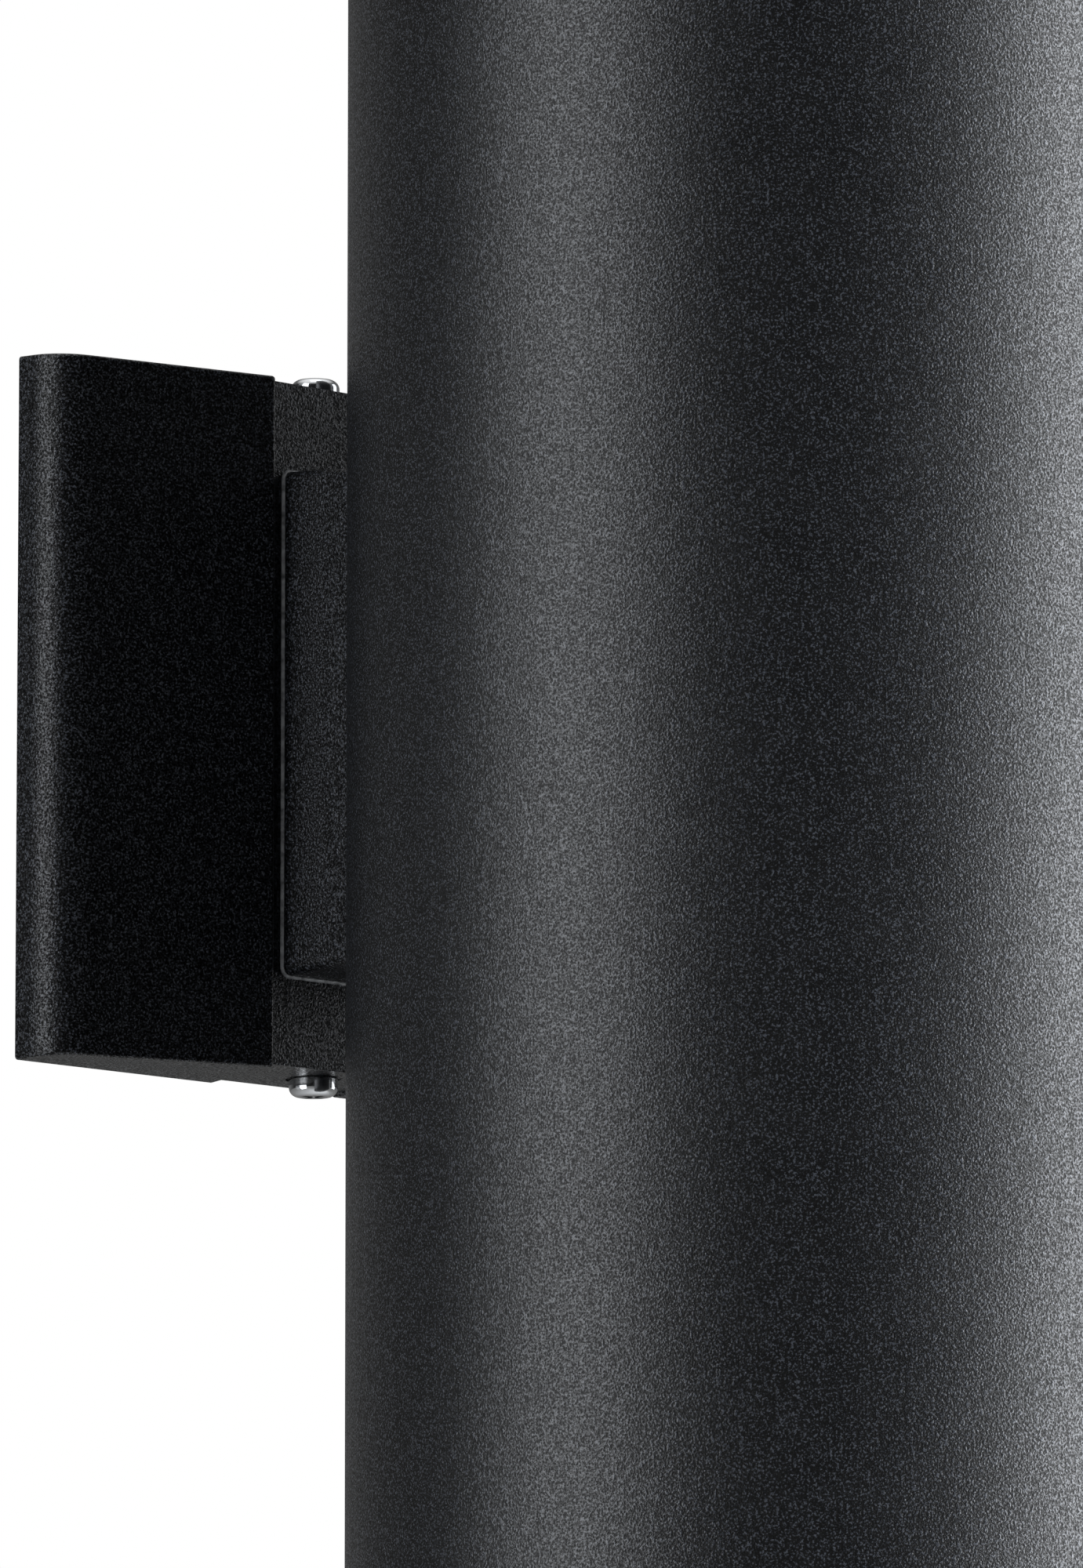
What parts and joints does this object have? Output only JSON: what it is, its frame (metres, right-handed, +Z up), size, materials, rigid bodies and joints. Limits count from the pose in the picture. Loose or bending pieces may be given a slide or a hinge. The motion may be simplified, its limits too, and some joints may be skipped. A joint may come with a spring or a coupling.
{
  "type": "tube wall light",
  "caption": "Tube wall light: an upright round tube with a lamp facing up and one facing down, held off the wall by a short arm on a square cast canopy.",
  "frame": {"origin": "middle of the canopy on the wall plane, which is the centre of the strap's two box-screw slots", "axes": "+Z up along the tube, +Y into the wall, +X to the right seen from the room"},
  "size_m": [0.1524, 0.2032, 0.4572],
  "materials": {
    "black_cast": "fine-texture black powder coat on die-cast aluminium",
    "black_tube": "fine-texture black powder coat on extruded aluminium",
    "black_baffle": "matt black stoved paint on spun aluminium",
    "foam": "closed-cell foam",
    "silicone": "clear silicone",
    "zinc_steel": "zinc-plated",
    "spring_steel": "tempered spring steel",
    "chrome": "polished chrome",
    "raw_aluminium": "as cast",
    "porcelain": "white glaze",
    "brass": "rolled sheet brass",
    "lamp_base_metal": "rolled lamp base",
    "lamp_bowl": "silvered pressed glass",
    "lamp_front": "stippled pressed glass",
    "capsule_glass": "quartz glass",
    "lens_glass": "tempered clear glass",
    "nylon": "black nylon",
    "black_insulation": "black lead insulation",
    "white_insulation": "white lead insulation",
    "green_insulation": "green lead insulation",
    "green_screw": "green dyed zinc plating",
    "connector_plastic": "orange nylon"
  },
  "bodies": {
    "fixture": {"canopy_cover": "black_cast", "arm_block": "black_cast", "tube_housing": "black_tube", "wall_gasket": "foam", "wall_strap": "zinc_steel", "socket_bridge": "zinc_steel", "arm_screws": "zinc_steel", "saddle_bolts": "zinc_steel", "socket_screws": "zinc_steel", "tube_saddle": "raw_aluminium", "canopy_bushing": "nylon", "tube_bushing": "nylon", "black_leads": "black_insulation", "white_leads": "white_insulation", "ground_lead": "green_insulation", "ground_screws": "green_screw", "wire_connectors": "connector_plastic", "upper_socket_body": "porcelain", "lower_socket_body": "porcelain", "upper_socket_shell": "brass", "lower_socket_shell": "brass", "upper_socket_contact": "brass", "lower_socket_contact": "brass", "upper_stop_ring": "zinc_steel", "lower_stop_ring": "zinc_steel"},
    "upper_screw": {"upper_mount_screw": "chrome"},
    "upper_lamp": {"upper_lamp_base": "lamp_base_metal", "upper_lamp_reflector": "lamp_bowl", "upper_lamp_front": "lamp_front", "upper_lamp_capsule": "capsule_glass"},
    "upper_trim": {"upper_baffle": "black_baffle", "upper_lens_gasket": "silicone", "upper_lens": "lens_glass", "upper_lens_retainer": "zinc_steel", "upper_spring_clips": "spring_steel"},
    "lower_screw": {"lower_mount_screw": "chrome"},
    "lower_lamp": {"lower_lamp_base": "lamp_base_metal", "lower_lamp_reflector": "lamp_bowl", "lower_lamp_front": "lamp_front", "lower_lamp_capsule": "capsule_glass"},
    "lower_trim": {"lower_baffle": "black_baffle", "lower_lens_gasket": "silicone", "lower_lens": "lens_glass", "lower_lens_retainer": "zinc_steel", "lower_spring_clips": "spring_steel"}
  },
  "joints": [
    {"name": "upper_trim_pull", "type": "slide", "parent": "fixture", "child": "upper_trim", "axis": [0, 0, 1], "range_m": [0, 0.036]},
    {"name": "upper_lamp_turn", "type": "hinge", "parent": "fixture", "child": "upper_lamp", "pos_m": [0, -0.127, 0], "axis": [0, 0, 1], "continuous": true},
    {"name": "upper_screw_turn", "type": "hinge", "parent": "fixture", "child": "upper_screw", "pos_m": [0, -0.01, 0], "axis": [0, 0, 1], "continuous": true},
    {"name": "lower_trim_pull", "type": "slide", "parent": "fixture", "child": "lower_trim", "axis": [0, 0, -1], "range_m": [0, 0.036]},
    {"name": "lower_lamp_turn", "type": "hinge", "parent": "fixture", "child": "lower_lamp", "pos_m": [0, -0.127, 0], "axis": [0, 0, -1], "continuous": true},
    {"name": "lower_screw_turn", "type": "hinge", "parent": "fixture", "child": "lower_screw", "pos_m": [0, -0.01, 0], "axis": [0, 0, -1], "continuous": true}
  ]
}
